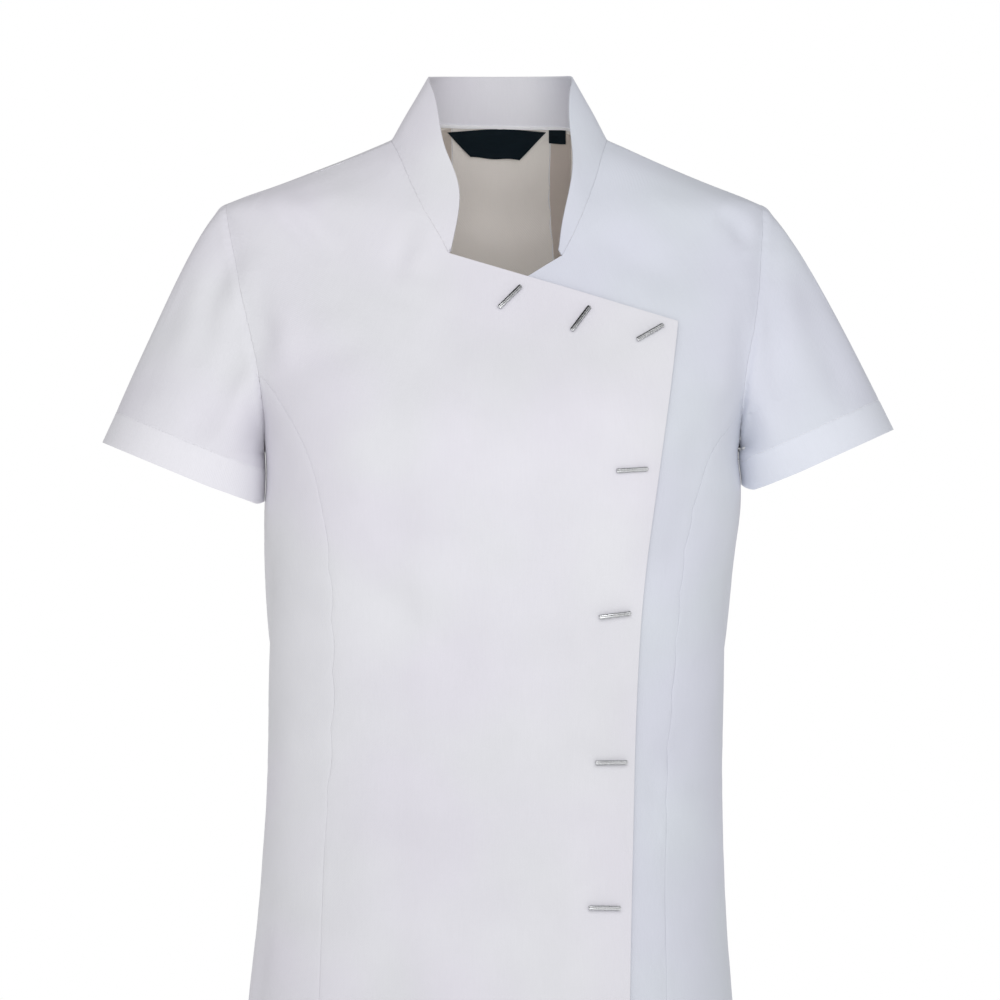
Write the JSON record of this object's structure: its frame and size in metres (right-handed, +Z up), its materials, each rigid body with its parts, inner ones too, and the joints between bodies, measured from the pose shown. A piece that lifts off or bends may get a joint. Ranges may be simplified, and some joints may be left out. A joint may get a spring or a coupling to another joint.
{
  "type": "work tunic",
  "caption": "White wrap-front work tunic with stand collar, short set-in sleeves, princess seams and metal bar fasteners along a slanting front edge.",
  "frame": {"origin": "middle of the neck, level with the sides of the neck, over the shoulder ridge, where the wearer's shoulders hold the tunic", "axes": "+X towards the wearer's left, -Y out of the front, +Z up"},
  "size_m": [0.5885, 0.2404, 0.7697],
  "materials": {
    "white_cloth": "matt plain woven polyester and cotton",
    "navy_label": "matt woven tab",
    "chrome": "polished"
  },
  "bodies": {
    "root": {"front_overlap": "white_cloth", "front_under": "white_cloth", "side_front_right": "white_cloth", "side_front_left": "white_cloth", "back_centre": "white_cloth", "side_back_right": "white_cloth", "side_back_left": "white_cloth", "sleeve_right": "white_cloth", "sleeve_left": "white_cloth", "collar": "white_cloth", "label_neck": "navy_label", "label_size": "navy_label", "rod_1": "chrome", "rod_2": "chrome", "rod_3": "chrome", "rod_4": "chrome", "rod_5": "chrome", "rod_6": "chrome", "rod_7": "chrome"}
  },
  "joints": []
}
